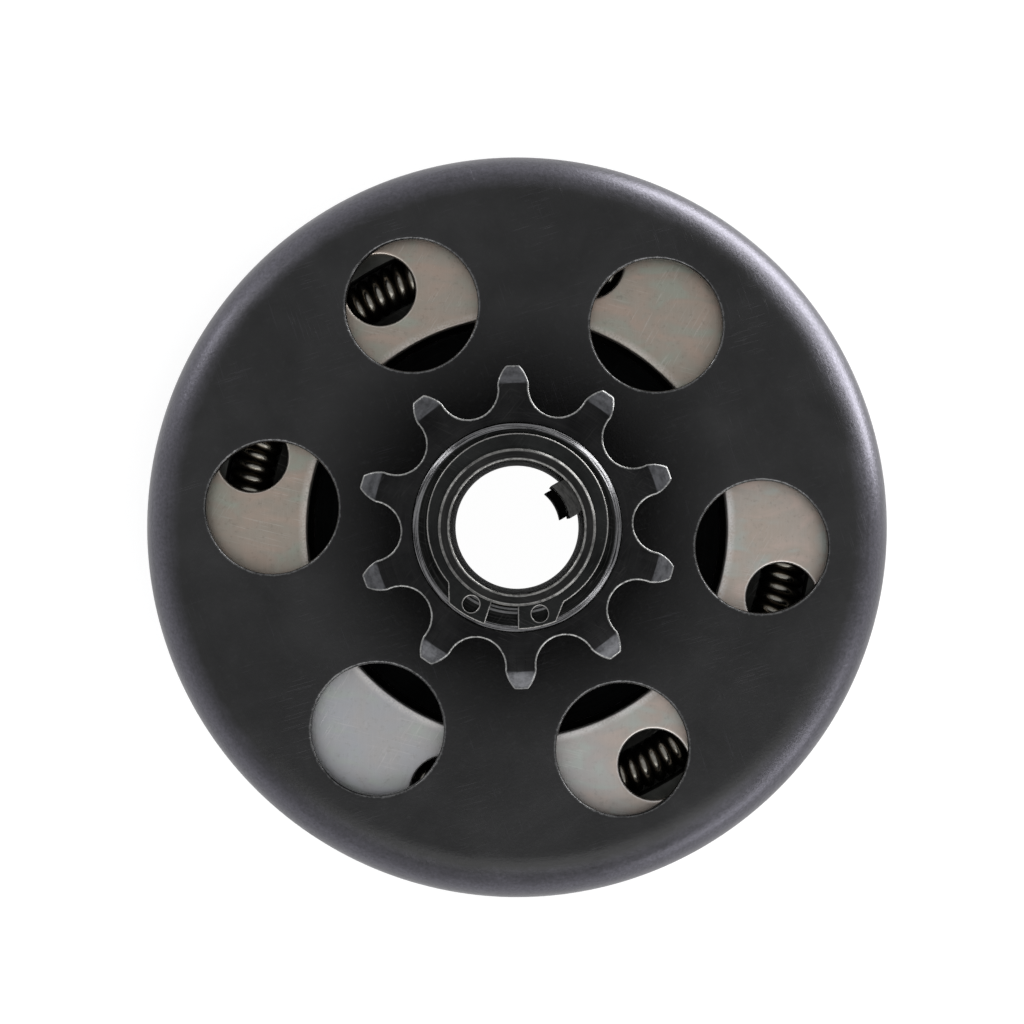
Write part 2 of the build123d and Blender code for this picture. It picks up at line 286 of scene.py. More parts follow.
def lathe(corners, count=192, fade=0.25):  # corners of radius, height and rounding
    return skin(*turnedRings(softCorners(corners, fade=fade), fullTurn(count)), endless=True)


def cover(loops, height):  # a flat face between an outer loop and its holes
    rings = [flatRing(loop, height) for loop in loops]
    faces = tessellate_polygon([[Vector(point) for point in ring] for ring in rings])
    points = np.vstack(rings)
    return points, [tuple(face) for face in faces], np.zeros(len(points))


def quarterLip(lip, steps):  # inset and fall of a rounded edge, from the flat face to the wall
    turns = [math.pi / 2 * step / steps for step in range(steps + 1)]
    return [(lip * (1 - math.sin(turn)), lip * (1 - math.cos(turn))) for turn in turns]


def plate(loops, bottom, top, lips, steps=3, fade=0.25):
    # lips gives each loop's rounding below and above, or None where the loop has no wall
    shapes, lower, upper = [], [], []
    endWear = rounding["plateEndWear"]
    lipWear = [endWear] + [1.0] * (steps - 1) + [endWear]
    for loop, lip in zip(loops, lips):
        if lip is None:
            lower.append(loop)
            upper.append(loop)
            continue
        below, above = lip
        rows = [(below + fade, bottom, 0.0)]
        rows += [(depth, bottom + rise, w) for (depth, rise), w in zip(quarterLip(below, steps), lipWear)]
        rows += [(0.0, bottom + below + fade, 0.0), (0.0, top - above - fade, 0.0)]
        rows += [(depth, top - fall, w) for (depth, fall), w in zip(quarterLip(above, steps)[::-1], lipWear)]
        rows.append((above + fade, top, 0.0))
        rings = [flatRing(inset(loop, depth), height) for depth, height, w in rows]
        shapes.append(skin(rings, [np.full(len(loop), w) for depth, height, w in rows]))
        lower.append(rings[0][:, :2])
        upper.append(rings[-1][:, :2])
    return shapes + [cover(lower, bottom), cover(upper, top)]


def moved(shape, x, y):
    points, faces, wear = shape
    return points + np.array((x, y, 0.0)), faces, wear


def makePiece(name, shapes, material, body, node, sharp=38.0):
    # an edge that bends by more degrees than sharp stays hard
    points = np.vstack([shape[0] for shape in shapes]) * mm
    wear = np.concatenate([shape[2] for shape in shapes])
    faces, start = [], 0
    for shape in shapes:
        faces += [tuple(start + i for i in face) for face in shape[1]]
        start += len(shape[0])
    mesh = bpy.data.meshes.new(name)
    mesh.from_pydata(points.tolist(), [], faces)
    mesh.attributes.new("edgeWear", "FLOAT", "POINT").data.foreach_set("value", wear.astype(np.float32))
    work = bmesh.new()
    work.from_mesh(mesh)
    bmesh.ops.remove_doubles(work, verts=work.verts, dist=weldWithin * mm)
    bmesh.ops.recalc_face_normals(work, faces=work.faces)
    work.to_mesh(mesh)
    work.free()
    mesh.shade_smooth()
    mesh.set_sharp_from_angle(angle=math.radians(sharp))
    mesh.materials.append(material)
    piece = bpy.data.objects.new(name, mesh)
    bpy.context.scene.collection.objects.link(piece)
    if body:
        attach(piece, body)
    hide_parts(node)
    print("made", name, "with", len(mesh.polygons), "faces")
    return piece


# Finishes. Lengths in them are millimetres, and a noise's scale counts its cells in a millimetre.
def machinedSteel(name, look):
    finish = newFinish(name)
    place = finish.place()
    x, y, z = finish.axes(place)
    radius = finish.radius(place)
    rings = finish.turning(place, 1.2, look["ringsPerMm"])
    cloud = finish.noise(place, 0.16, 4.0, 0.6)
    grit = finish.noise(place, 5.5, 3.0, 0.65)
    scuffs = finish.larger(finish.scratches(place, 24, 6.5, 0.3, look["scratchShare"]),
                           finish.scratches(place, -52, 5.5, 0.36, look["scratchShare"]))
    ragged = finish.noise(place, 2.6, 4.0, 0.7)
    patchy = finish.noise(place, 0.2, 2.0, 0.5)
    handled = finish.wear() * 0.62 + ragged * 0.7 + patchy * 0.35
    rubbed = finish.within(handled, look["wearFrom"], look["wearFrom"] + look["wearSpread"])
    plain = finish.blend(finish.within(cloud, 0.35, 0.68), look["dark"], look["light"])
    ringed = finish.blend(finish.within(rings, 0.5, 0.78) * look["ringShow"], plain, look["ringColour"])
    scuffed = finish.blend(scuffs * look["scratchShow"], ringed, look["ringColour"])
    rough = look["roughness"] + (grit - 0.5) * 0.16 + (cloud - 0.5) * 0.14
    height = rings * look["ringDepth"] + grit * 0.25 - scuffs * 0.35
    for band in look["bands"]:  # where a washer, a roller or a tool has rubbed it bright or left it dark, and inside the bore, where the dark is painted shade
        inside = finish.between(radius, band["from"], band["to"], 0.08)
        inside = inside * finish.between(z, band["low"], band["high"], 0.05)
        tooled = finish.turning(place, band["around"], band["across"]) + (ragged - 0.5) * band["ragged"]
        tone = finish.blend(finish.within(tooled, *band["lines"]), band["dark"], band["light"])
        scuffed = finish.blend(inside, scuffed, tone)
        rough = rough + inside * (band["roughness"] - rough)
        rubbed = rubbed * (1 - inside * band["coversWear"])
        height = height * (1 - inside * band["smooth"])
    colour = finish.blend(rubbed, scuffed, look["worn"])
    rough = rough - rubbed * look["wearPolish"]
    return finish.surface(colour=colour, roughness=rough, metallic=1.0,
                          normal=finish.bump(height, look["bumpDepth"]))


def drumFinish(look):
    finish = newFinish("blackedDrum")
    place = finish.place()
    x, y, z = finish.axes(place)
    radius = finish.radius(place)
    grain = finish.turning(place, 3.0, 3.0)
    cloud = finish.noise(place, 0.075, 5.0, 0.62, 0.4)
    fleck = finish.noise(place, 1.1, 4.0, 0.7)
    grit = finish.noise(place, 6.5, 2.0, 0.6)
    pimples = finish.noise(place, 2.3, 2.0, 0.55)
    ragged = finish.noise(place, 2.2, 4.0, 0.7)
    scuffs = finish.larger(finish.scratches(place, 71, 6.0, 0.16, look["scratchShare"]),
                           finish.scratches(place, -17, 7.0, 0.2, look["scratchShare"]))
    plain = finish.blend(finish.within(cloud, 0.34, 0.7), look["dark"], look["light"])
    # Painted shade: the face darkens towards the sprocket's neck, where the sprocket above shades it
    neck = finish.within(radius, *look["neckFade"]) * look["neckShow"]
    plain = finish.blend(neck, plain, look["neckDark"])
    plain = finish.blend(finish.within(fleck, 0.56, 0.8) * look["fleckShow"], plain, look["fleck"])
    wandering = radius + (cloud - 0.5) * 2.2 + (fleck - 0.5) * 0.8
    burnish = finish.within(wandering, *look["burnishFade"])
    mottle = finish.within(pimples * 0.5 + grain * 0.3 + fleck * 0.2, 0.36, 0.66)
    tone = finish.blend(mottle, look["burnishDark"], look["burnishLight"])
    plain = finish.blend(burnish * finish.within(z, *look["burnishRise"]) * 0.92, plain, tone)
    wall = finish.within(radius, *look["wallFade"]) * finish.within(fleck * 0.5 + cloud * 0.5, 0.36, 0.62)
    plain = finish.blend(wall * look["wallShow"], plain, look["burnishDark"])
    scuffed = finish.blend(scuffs * look["scratchShow"], plain, look["burnishLight"])
    handled = finish.wear() * 0.6 + ragged * 0.8
    rubbed = finish.within(handled, look["wearFrom"], look["wearFrom"] + look["wearSpread"])
    colour = finish.blend(rubbed, scuffed, look["worn"])
    outside = finish.within(radius, *look["outsideFade"])
    rough = look["roughness"] + (cloud - 0.5) * 0.2 + (fleck - 0.5) * 0.12 + outside * look["wallRough"]
    rough = rough - rubbed * look["wearPolish"] - burnish * look["burnishPolish"]
    height = grit * 0.2 + pimples * 0.8 + fleck * 0.4 + grain * 0.2 - scuffs * 0.3
    return finish.surface(colour=colour, roughness=rough, metallic=look["metallic"],
                          normal=finish.bump(height, look["bumpDepth"]))


def zincFinish(name, look):
    finish = newFinish(name)
    place = finish.place()
    x, y, z = finish.axes(place)
    cloud = finish.noise(place, 0.11, 3.0, 0.55, 0.8)
    hue = finish.noise(place, 0.05, 2.0, 0.5, 1.2)
    spangle = finish.noise(place, 1.6, 5.0, 0.7)
    sheen = finish.noise(finish.vector(x * 0.16, y * 0.31, z * 0.1), 1.0, 2.0, 0.45, 0.8)
    brush = finish.within(finish.noise(finish.vector(x * 5.0, y * 0.35, z), 1.0, 2.0), 0.5, 0.8)
    scuffs = finish.larger(finish.scratches(place, 14, 5.5, 0.2, 0.37),
                           finish.scratches(place, -60, 6.0, 0.26, 0.36))
    tint = finish.within(x * look["tintAcross"] + hue, *look["tintFade"])
    base = finish.blend(tint, look["warm"], look["cool"])
    base = finish.blend(finish.within(cloud, 0.34, 0.7) * 0.6, base, look["dull"])
    pinkShow = 0.8 - tint * look["pinkFade"]
    base = finish.blend(finish.within(sheen, 0.5, 0.68) * pinkShow, base, look["pinkish"])
    base = finish.blend(finish.within(sheen, 0.47, 0.32) * 0.8, base, look["greenish"])
    base = finish.blend(brush * 0.1 + scuffs * 0.35, base, look["bright"])
    base = finish.blend(finish.within(spangle, 0.56, 0.76) * 0.5, base, look["stain"])
    rubbed = finish.within(finish.wear() * 0.6 + spangle * 0.8, 0.72, 0.95)
    speckle = finish.within(finish.noise(place, 3.2, 3.0, 0.7) * 0.6 + cloud * 0.4, 0.4, 0.58)
    innerEdgeHighlight = finish.within(finish.radius(place), *look["stripFade"]) * speckle  # painted highlight along the shoe's inner edge
    colour = finish.blend(finish.larger(rubbed * 0.6, innerEdgeHighlight * 0.9), base, look["bright"])
    rough = look["roughness"] + (cloud - 0.5) * 0.2 + (spangle - 0.5) * 0.14 - scuffs * 0.06
    height = spangle * 0.5 + brush * 0.2 - scuffs * 0.3
    return finish.surface(colour=colour, roughness=rough, metallic=look["metallic"],
                          normal=finish.bump(height, look["bumpDepth"]))


def liningFinish(look):
    finish = newFinish("frictionLining")
    place = finish.place()
    cloud = finish.noise(place, 0.3, 4.0, 0.6)
    grains = {"Vector": place, "Scale": look["grainsPerMm"], "Randomness": 1.0}
    flecks = finish.node("ShaderNodeTexVoronoi", {"feature": "F1"}, grains)
    fibres = finish.noise(place, 4.0, 4.0, 0.75)
    base = finish.blend(finish.within(cloud, 0.35, 0.65), look["dark"], look["light"])
    brass = finish.within(flecks, 0.24, 0.12) * finish.within(fibres, 0.5, 0.6)
    base = finish.blend(brass, base, look["fleck"])
    base = finish.blend(finish.within(fibres, 0.58, 0.72) * 0.5, base, look["fibre"])
    rough = look["roughness"] + (fibres - 0.5) * 0.2
    return finish.surface(colour=base, roughness=rough, metallic=0.0,
                          normal=finish.bump(fibres + cloud * 0.6, look["bumpDepth"]))


def bronzeFinish(look):
    finish = newFinish("porousBronze")
    place = finish.place()
    cloud = finish.noise(place, 0.25, 4.0, 0.6)
    pores = finish.noise(place, 7.0, 3.0, 0.7)
    oil = finish.noise(place, 0.6, 3.0, 0.5)
    base = finish.blend(finish.within(cloud, 0.35, 0.65), look["dark"], look["light"])
    base = finish.blend(finish.within(pores, 0.6, 0.72) * 0.75, base, look["pore"])
    rough = look["roughness"] + (pores - 0.5) * 0.3 - finish.within(oil, 0.5, 0.7) * 0.14
    height = 1 - finish.within(pores, 0.55, 0.75)
    return finish.surface(colour=base, roughness=rough, metallic=look["metallic"],
                          normal=finish.bump(height, look["bumpDepth"]))


steelLook = {
    "dark": (0.014, 0.014, 0.0137), "light": (0.030, 0.0297, 0.029), "ringColour": (0.08, 0.08, 0.077),
    "worn": (0.26, 0.255, 0.245), "roughness": 0.4, "ringsPerMm": 7.0, "ringShow": 0.25, "ringDepth": 0.6,
    "bumpDepth": 0.012, "scratchShare": 0.36, "scratchShow": 0.35, "wearFrom": 0.98, "wearSpread": 0.3,
    "wearPolish": 0.14, "bands": [],
}
# A band goes from one radius to another between two heights
plainBand = {
    "around": 9.0, "across": 3.0, "ragged": 0.5, "smooth": 0.3, "lines": (0.3, 0.62), "coversWear": 0.0,
}
# Painted shade: the bore's wall and the key's rib are darker than the hub's steel, where the bore lies in
# shade; the high roughness is the wall's own
boreWallPaintedShade = {
    **plainBand, "from": 0.0, "to": 9.62, "low": 0.3, "high": 53.6, "around": 3.0, "across": 4.0,
    "dark": (0.006, 0.006, 0.006), "light": (0.02, 0.0195, 0.019), "roughness": 0.9, "coversWear": 1.0,
}
keyStep = {
    **plainBand, "from": 7.4, "to": 9.5, "low": 52.0, "high": 52.4, "around": 6.0, "across": 6.0,
    "dark": (0.03, 0.03, 0.029), "light": (0.075, 0.074, 0.071), "roughness": 0.4, "coversWear": 0.6,
}
boreLip = {
    **plainBand, "from": 9.45, "to": 9.82, "low": 53.6, "high": 54.1,
    "dark": (0.05, 0.05, 0.048), "light": (0.34, 0.335, 0.32), "roughness": 0.3,
}
hubRim = {
    **plainBand, "from": 10.85, "to": 11.3, "low": 53.0, "high": 54.0,
    "dark": (0.05, 0.05, 0.049), "light": (0.16, 0.158, 0.152), "roughness": 0.32,
}
bevel = {
    **plainBand, "from": 14.08, "to": 14.9, "low": 51.05, "high": 51.65, "around": 2.0, "across": 26.0,
    "dark": (0.015, 0.015, 0.016), "light": (0.185, 0.185, 0.19), "roughness": 0.2, "ragged": 0.15,
    "smooth": 1.0, "lines": (0.42, 0.56),
}
innerTrack = {
    **bevel, "from": 11.55, "to": 11.75, "low": 51.5, "high": 51.65,
    "dark": (0.05, 0.05, 0.05), "light": (0.2, 0.2, 0.2),
}
outerTrack = {**innerTrack, "from": 12.05, "to": 12.3}
toothFront = {
    **plainBand, "from": 20.6, "to": 24.0, "low": 49.4, "high": 50.46, "around": 12.0, "across": 1.6,
    "dark": (0.055, 0.056, 0.059), "light": (0.11, 0.111, 0.118), "roughness": 0.36, "coversWear": 0.3,
}
toothBack = {**toothFront, "low": 44.64, "high": 45.7}
rollerSeat = {
    **plainBand, "from": 16.4, "to": 21.0, "low": 45.2, "high": 49.9, "around": 2.0, "across": 2.2,
    "dark": (0.03, 0.03, 0.03), "light": (0.12, 0.118, 0.113), "roughness": 0.34,
}
# What each steel piece has of its own
steelLooks = {
    "oiledSteel": {"bands": [boreWallPaintedShade, keyStep, boreLip, hubRim]},
    "ringSteel": {"dark": (0.0125, 0.013, 0.0127), "light": (0.025, 0.0262, 0.0256), "ringShow": 0.08,
                  "wearFrom": 0.8},
    # Painted shade: the washer's steel is darker than the other steels, standing in for the snap ring's
    # shadow on its flat
    "washerSteel": {"dark": (0.004, 0.0042, 0.0041), "light": (0.013, 0.0135, 0.013), "ringShow": 0.35,
                    "wearFrom": 1.1, "bands": [bevel, innerTrack, outerTrack]},
    "discBlack": {"dark": (0.006, 0.0065, 0.0066), "light": (0.014, 0.015, 0.015), "ringsPerMm": 2.4,
                  "ringShow": 0.2, "ringColour": (0.04, 0.041, 0.042), "roughness": 0.46},
    "armSteel": {"dark": (0.02, 0.0197, 0.019), "light": (0.05, 0.049, 0.046), "ringShow": 0.15,
                 "roughness": 0.42},
    "sprocketSteel": {"dark": (0.0105, 0.0105, 0.0108), "light": (0.021, 0.021, 0.0213), "ringsPerMm": 5.0,
                      "ringColour": (0.045, 0.044, 0.043), "worn": (0.36, 0.36, 0.35), "roughness": 0.38,
                      "wearFrom": 0.94, "bands": [toothFront, toothBack, rollerSeat]},
    "spacerBlack": {"dark": (0.005, 0.005, 0.0045), "light": (0.013, 0.013, 0.012), "ringShow": 0.1,
                    "roughness": 0.5},
    "coreSteel": {"dark": (0.03, 0.031, 0.028), "light": (0.075, 0.077, 0.071), "ringShow": 0.1,
                  "roughness": 0.5},
    "rivetSteel": {"dark": (0.05, 0.05, 0.047), "light": (0.12, 0.118, 0.11), "ringShow": 0.12,
                   "roughness": 0.36, "wearFrom": 0.9},
    # The wire's worn colour brightens the outside of each turn: wear, and a painted highlight
    "wireSteel": {"dark": (0.075, 0.064, 0.048), "light": (0.13, 0.115, 0.09), "ringShow": 0.0,
                  "worn": (0.27, 0.26, 0.23), "roughness": 0.3, "wearFrom": 0.8, "wearPolish": 0.08,
                  "bumpDepth": 0.004},
}
drumLook = {
    "dark": (0.029, 0.029, 0.0292), "light": (0.039, 0.039, 0.0395), "fleck": (0.055, 0.056, 0.058),
    "fleckShow": 0.25, "neckDark": (0.0075, 0.0075, 0.0075), "neckShow": 0.95, "neckFade": (33.0, 19.0),
    "burnishDark": (0.062, 0.0605, 0.071), "burnishLight": (0.109, 0.1055, 0.127), "burnishPolish": 0.06,
    "burnishFade": (49.8, 53.0), "burnishRise": (22.0, 30.0), "wallFade": (54.6, 54.9), "wallShow": 0.55,
    "outsideFade": (52.5, 54.6), "wallRough": 0.06, "metallic": 0.92, "roughness": 0.37, "bumpDepth": 0.036,
    "scratchShare": 0.35, "scratchShow": 0.09, "worn": (0.12, 0.12, 0.121), "wearFrom": 0.86,
    "wearSpread": 0.2, "wearPolish": 0.2,
}
liningLook = {
    "dark": (0.035, 0.03, 0.024), "light": (0.075, 0.064, 0.05), "fleck": (0.34, 0.24, 0.11),
    "fibre": (0.13, 0.115, 0.09), "grainsPerMm": 1.7, "roughness": 0.86, "bumpDepth": 0.05,
}
bronzeLook = {
    "dark": (0.32, 0.2, 0.085), "light": (0.48, 0.32, 0.15), "pore": (0.05, 0.035, 0.02),
    "metallic": 0.9, "roughness": 0.42, "bumpDepth": 0.02,
}
zincLook = {
    "warm": (0.36, 0.31, 0.255), "cool": (0.37, 0.335, 0.29), "dull": (0.325, 0.285, 0.238),
    "bright": (0.56, 0.52, 0.475), "stain": (0.17, 0.15, 0.125), "pinkish": (0.415, 0.325, 0.268),
    "greenish": (0.325, 0.345, 0.29), "tintAcross": 0.0, "tintFade": (0.1, 1.0), "pinkFade": 0.0,
    "stripFade": (32.5, 31.7), "metallic": 0.92, "roughness": 0.36, "bumpDepth": 0.012,
}
blueZincLook = {
    **zincLook, "warm": (0.455, 0.385, 0.325), "cool": (0.42, 0.43, 0.45), "dull": (0.41, 0.385, 0.355),
    "bright": (0.66, 0.64, 0.62), "stain": (0.24, 0.225, 0.2), "pinkish": (0.53, 0.43, 0.375),
    "greenish": (0.42, 0.455, 0.42), "tintAcross": -0.035, "tintFade": (-0.3, 0.6), "pinkFade": 0.72,
}
finishes = {name: machinedSteel(name, {**steelLook, **look}) for name, look in steelLooks.items()}
finishes["drum"] = drumFinish(drumLook)
finishes["lining"] = liningFinish(liningLook)
finishes["bronze"] = bronzeFinish(bronzeLook)
finishes["zincA"] = zincFinish("zincPlateA", zincLook)
finishes["zincB"] = zincFinish("zincPlateB", blueZincLook)
print("finishes made")


# Driver hub: a turned sleeve with a flange, a shoulder, the snap ring's groove and the built-in key
hub = {
    "boreR": 9.54, "boreEdge": 0.15, "rearLeadIn": 0.5, "plainLength": 16.0, "reliefTop": 18.0,
    "reliefDepth": 0.3, "journalR": 11.2, "journalEdge": 0.3, "flangeR": 17.0, "flangeTop": 6.4,
    "seatR": 14.0, "seatTop": 29.7, "grooveR": 10.5, "grooveBottom": 51.7, "grooveTop": 52.9, "length": 53.9,
    "keyAngle": 30.0, "keyWidth": 4.5, "keyR": 6.4, "keyFront": 36.0, "keyLip": (0.1, 0.3),
    "stepWidth": 5.34, "stepR": 7.6, "stepFront": 52.2, "stepLip": (0.1, 0.14), "root": 9.75,
}


def keyLoop(width, innerR, outerR):  # a rib on the bore's wall, as seen from the front
    inner = math.degrees(math.asin(width / 2 / innerR))
    outer = math.degrees(math.asin(width / 2 / outerR))
    loop = np.vstack((arc(outerR, -outer, outer, 15), arc(innerR, inner, -inner, 15)))
    return turnLoop(loop, hub["keyAngle"])


def hubShapes():
    h = hub
    reliefR = h["boreR"] + h["reliefDepth"]
    sleeve = lathe([
        (h["flangeR"], 0, 0.6), (h["flangeR"], h["flangeTop"], 0.25),
        (h["seatR"], h["flangeTop"], 0.15), (h["seatR"], h["seatTop"], 0.2),
        (h["journalR"], h["seatTop"], 0.15), (h["journalR"], h["grooveBottom"], 0.05),
        (h["grooveR"], h["grooveBottom"], 0.08), (h["grooveR"], h["grooveTop"], 0.08),
        (h["journalR"], h["grooveTop"], 0.06), (h["journalR"], h["length"] - h["journalEdge"], 0.08),
        (h["journalR"] - h["journalEdge"], h["length"], 0.1), (h["boreR"] + h["boreEdge"], h["length"], 0.1),
        (h["boreR"], h["length"] - h["boreEdge"], 0.1), (h["boreR"], h["reliefTop"], 0.05),
        (reliefR, h["reliefTop"], 0.05), (reliefR, h["plainLength"], 0.05),
        (h["boreR"], h["plainLength"], 0.05), (h["boreR"], h["rearLeadIn"], 0.12),
        (h["boreR"] + h["rearLeadIn"], 0, 0.12),
    ], 240, fade=0.18)
    keyEdge = [keyLoop(h["keyWidth"], h["keyR"], h["root"])]
    stepEdge = [keyLoop(h["stepWidth"], h["stepR"], h["root"])]
    block = plate(keyEdge, h["reliefTop"], h["keyFront"], [h["keyLip"]], fade=0.15)
    step = plate(stepEdge, h["reliefTop"], h["stepFront"], [h["stepLip"]], fade=0.1)
    return [sleeve] + block + step


makePiece("driverHub", hubShapes(), finishes["oiledSteel"], "driver", "driver_hub")

# Snap ring: a stamped ring, off centre, with two eyed lugs beside its gap
snapRing = {
    "bottom": 51.73, "thickness": 1.14, "innerR": 10.55, "outerR": 12.9, "offset": 0.49, "offsetAngle": 80.7,
    "gapStart": 251.5, "gapEnd": 270.5, "lugR": 14.5, "rootR": 12.1,
    "leftRoot": 216.0, "leftTip": 228.0, "rightTip": 292.5, "rightRoot": 305.0,
    "eyeR": 1.15, "eyeCircleR": 12.7, "leftEye": 239.1, "rightEye": 284.8, "lip": 0.16,
}


def ringEdge(angle):  # the ring's outer radius at an angle
    s = snapRing
    turn = math.radians(angle - s["offsetAngle"])
    band = s["offset"] * math.cos(turn) + math.sqrt(s["outerR"] ** 2 - (s["offset"] * math.sin(turn)) ** 2)
    left = (s["leftRoot"], s["leftTip"], s["gapStart"])
    right = (s["rightRoot"] - 360, s["rightTip"] - 360, s["gapEnd"] - 360)
    for root, tip, gap in (left, right):
        here = angle if tip > 0 else angle - 360 if angle > 180 else angle
        if min(tip, gap) <= here <= max(tip, gap):
            return s["lugR"]
        if min(root, tip) < here < max(root, tip):  # the slanted side of the lug
            start, end = polar(s["rootR"], root), polar(s["lugR"], tip)
            along = end - start
            ray = polar(1.0, here)
            reach = (start[0] * along[1] - start[1] * along[0]) / (ray[0] * along[1] - ray[1] * along[0])
            return max(band, min(reach, s["lugR"]))
    return band


def ringShapes():
    s = snapRing
    angles = np.linspace(s["gapEnd"], s["gapStart"] + 360, 342)
    outer = [polar(ringEdge(angle % 360), angle) for angle in angles]
    inner = arc(s["innerR"], s["gapStart"] + 360, s["gapEnd"], 240)
    loops = [np.vstack((outer, inner))]
    for eye in (s["leftEye"], s["rightEye"]):
        loops.append(circle(s["eyeR"], 40, True) + polar(s["eyeCircleR"], eye))
    lip = (s["lip"], s["lip"])
    return plate(loops, s["bottom"], s["bottom"] + s["thickness"], [lip, lip, lip], fade=0.14)


makePiece("snapRing", ringShapes(), finishes["ringSteel"], "driver", "snap_ring")

# Front thrust washer, bevelled round its outer edge and proud of the sprocket's face
washer = {"innerR": 11.3, "outerR": 14.85, "bottom": 50.0, "top": 51.6,
          "bevelWidth": 0.75, "bevelHeight": 0.5, "edge": 0.06}


def washerShapes():
    w = washer
    bevelR, bevelZ = w["outerR"] - w["bevelWidth"], w["top"] - w["bevelHeight"]
    outline = [(w["innerR"], w["bottom"]), (w["outerR"], w["bottom"]), (w["outerR"], bevelZ),
               (bevelR, w["top"]), (w["innerR"], w["top"])]
    return [lathe([(*corner, w["edge"]) for corner in outline], fade=0.15)]


makePiece("frontWasher", washerShapes(), finishes["washerSteel"],
          "driver", "front_thrust_washer")

# Backing plate behind the shoes
disc = {"innerR": 14.01, "outerR": 51.2, "bottom": 6.4, "top": 8.4, "edge": 0.3, "innerEdge": 0.1}


def discShapes():
    d = disc
    return [lathe([
        (d["innerR"], d["bottom"], d["innerEdge"]), (d["outerR"], d["bottom"], d["edge"]),
        (d["outerR"], d["top"], d["edge"]), (d["innerR"], d["top"], d["innerEdge"]),
    ], 256)]


makePiece("backingDisc", discShapes(), finishes["discBlack"], "driver", "backing_plate")

# Rivets through the drive arms' boss and the backing plate
bossRivet = {
    "circleR": 20.5, "firstAngle": 75.0, "count": 4, "headR": 2.59, "flatShare": 0.7, "domeHeight": 0.65,
    "shankR": 1.6, "headBottom": 5.3, "headTop": 6.4, "top": 18.4,
}


def bossRivetShapes():
    b = bossRivet
    one = lathe([
        (0.0, b["headBottom"], 0), (b["headR"] * b["flatShare"], b["headBottom"], 0.5),
        (b["headR"], b["headBottom"] + b["domeHeight"], 0.3), (b["headR"], b["headTop"], 0.08),
        (b["shankR"], b["headTop"], 0), (b["shankR"], b["top"], 0.1), (0.0, b["top"], 0),
    ], 40, fade=0.15)
    angles = [b["firstAngle"] + i * 360 / b["count"] for i in range(b["count"])]
    return [moved(one, *polar(b["circleR"], angle)) for angle in angles]


makePiece("bossRivets", bossRivetShapes(), finishes["rivetSteel"], "driver", "spider_rivets")

# Clutch drum: a pressed cup with six round holes
drum = {
    "outerR": 54.98, "wall": 2.58, "cornerR": 7.0, "rim": 1.8, "face": 33.5, "innerEdgeR": 14.49,
    "rimEdge": 0.4, "rimInnerEdge": 0.25, "holeR": 9.72, "holeCircleR": 36.08, "holeCount": 6,
    "firstHole": -4.6, "holeLip": (0.2, 0.42), "innerLip": (0.05, 0.05), "seamDrop": 2.0, "seamInset": 0.5,
}


def drumShapes():
    d = drum
    web, innerR = d["face"] - d["wall"], d["outerR"] - d["wall"]
    cornerR, cornerZ = d["outerR"] - d["cornerR"], d["face"] - d["cornerR"]
    outer = [(*point, 0.0) for point in arc(d["cornerR"], 90, 0, 22, (cornerR, cornerZ))]
    inner = [(*point, 0.0) for point in arc(d["cornerR"] - d["wall"], 0, 90, 16, (cornerR, cornerZ))]
    wallTop = cornerZ - d["seamDrop"]
    rim = softCorners([
        (d["outerR"], wallTop, 0), (d["outerR"], d["rim"], d["rimEdge"]),
        (innerR, d["rim"], d["rimInnerEdge"]), (innerR, wallTop, 0),
    ], False)
    seam = cornerR - d["seamInset"]  # where the turned skin meets the flat face with its holes
    line = [(seam, d["face"], 0.0)] + outer + rim + inner + [(seam, web, 0.0)]
    wall = skin(*turnedRings(line, fullTurn(288)))
    loops = [circle(seam, 288), circle(d["innerEdgeR"], 160, True)]
    for i in range(d["holeCount"]):
        centre = polar(d["holeCircleR"], d["firstHole"] + i * 360 / d["holeCount"])
        loops.append(circle(d["holeR"], 96, True) + centre)
    lips = [None, d["innerLip"]] + [d["holeLip"]] * d["holeCount"]
    return [wall] + plate(loops, web, d["face"], lips, steps=5, fade=0.5)


makePiece("drumShell", drumShapes(), finishes["drum"], "drum", "clutch_drum")

# Sprocket with its neck, bored for the bushing and counterbored for the washer
sprocket = {
    "teeth": 10, "firstTooth": 19.6, "pitchR": 20.55, "rootR": 16.59, "flatR": 15.75, "tipR": 23.15,
    "tipLand": 1.9, "tipEdge": 0.3, "seatR": 4.2, "seatHalf": 80.0, "bulge": 0.22,
    "back": 44.6, "front": 50.5, "relief": 0.9, "reliefCurve": 1.7, "farthestCrease": 0.985,
    "neckR": 15.49, "neckFlare": (0.26, 0.4), "spigotR": 14.49, "drumWeb": 30.9, "drumFace": 33.5,
    "boreR": 12.7, "floor": 49.9, "counterR": 14.95, "counterLip": 0.1, "lip": 0.2, "lipFade": 0.22,
}


def bulgedLine(start, middle, end, count):  # points of the arc through three points, without its last one
    a, b, c = (complex(*point) for point in (start, middle, end))
    w = (c - a) / (b - a)
    centre = (b - a) * (w - abs(w) ** 2) / (2j * w.imag) + a
    radius = abs(a - centre)
    first = math.atan2((a - centre).imag, (a - centre).real)
    last = math.atan2((c - centre).imag, (c - centre).real)
    swing = (last - first + math.pi) % (2 * math.pi) - math.pi  # the shorter way round
    turns = first + swing * np.arange(count) / count
    return np.column_stack((centre.real + radius * np.cos(turns), centre.imag + radius * np.sin(turns)))


